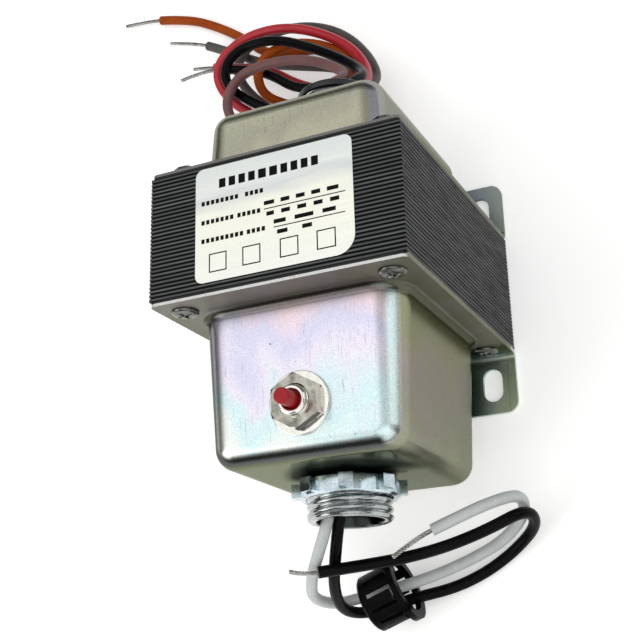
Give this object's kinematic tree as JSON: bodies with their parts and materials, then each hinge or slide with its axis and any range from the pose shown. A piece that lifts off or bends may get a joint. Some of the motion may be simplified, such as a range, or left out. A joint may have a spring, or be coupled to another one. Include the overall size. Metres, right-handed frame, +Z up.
{
  "type": "step-down transformer",
  "caption": "Foot-mounted step-down transformer: ridged core between drawn end bells, conduit nipple at each end, reset breaker on top and loose insulated leads.",
  "frame": {"origin": "middle of the foot slots, in the plane of the feet's undersides", "axes": "+X along the conduit hubs towards the primary leads, +Z up through the labelled side of the core"},
  "size_m": [0.2077, 0.1325, 0.0769],
  "materials": {
    "core_varnish": "dark dipped varnish over ridged steel edges",
    "bobbin_nylon": "moulded",
    "winding_copper": "enamelled copper wire",
    "coil_tape": "polyester tape",
    "zinc_sheet": "zinc plated, faintly iridescent",
    "zinc_screws": "zinc plated",
    "zinc_hub": "bright zinc plated",
    "black_plastic": "moulded",
    "nickel": "nickel plated",
    "button_red": "moulded",
    "terminal_brass": "bare",
    "label_foil": "satin foil",
    "snap_nylon": "moulded",
    "lead_red": "extruded insulation",
    "lead_black": "extruded insulation",
    "lead_brown": "extruded insulation",
    "lead_orange": "extruded insulation",
    "lead_gray": "extruded insulation",
    "lead_white": "extruded insulation",
    "tinned_strands": "tinned copper strands"
  },
  "bodies": {
    "housing": {"e_laminations": "core_varnish", "i_laminations": "core_varnish", "bobbin": "bobbin_nylon", "primary_winding": "winding_copper", "secondary_winding": "winding_copper", "primary_tape": "coil_tape", "secondary_tape": "coil_tape", "primary_cover": "zinc_sheet", "secondary_cover": "zinc_sheet", "clamp_screws": "zinc_screws", "clamp_nuts": "zinc_screws", "primary_nipple": "zinc_hub", "primary_locknut": "zinc_hub", "primary_insulator": "black_plastic", "secondary_nipple": "zinc_hub", "secondary_locknut": "zinc_hub", "breaker_body": "black_plastic", "breaker_bushing": "nickel", "breaker_washer": "nickel", "breaker_nut": "nickel", "breaker_terminals": "terminal_brass", "rating_label": "label_foil", "snap_bushing": "snap_nylon", "primary_red_lead": "lead_red", "primary_red_strands": "tinned_strands", "primary_black_lead": "lead_black", "primary_black_strands": "tinned_strands", "primary_brown_lead": "lead_brown", "primary_brown_strands": "tinned_strands", "primary_orange_lead": "lead_orange", "primary_orange_strands": "tinned_strands", "primary_gray_lead": "lead_gray", "primary_gray_strands": "tinned_strands", "secondary_white_lead": "lead_white", "secondary_white_strands": "tinned_strands", "secondary_black_lead": "lead_black", "secondary_black_strands": "tinned_strands"},
    "button": {"breaker_button": "button_red"}
  },
  "joints": [
    {"name": "reset_button", "type": "slide", "parent": "housing", "child": "button", "axis": [-0.0576, 0, 0.9983], "range_m": [-0.001, 0.0035], "stiffness_N_per_m": 150}
  ]
}
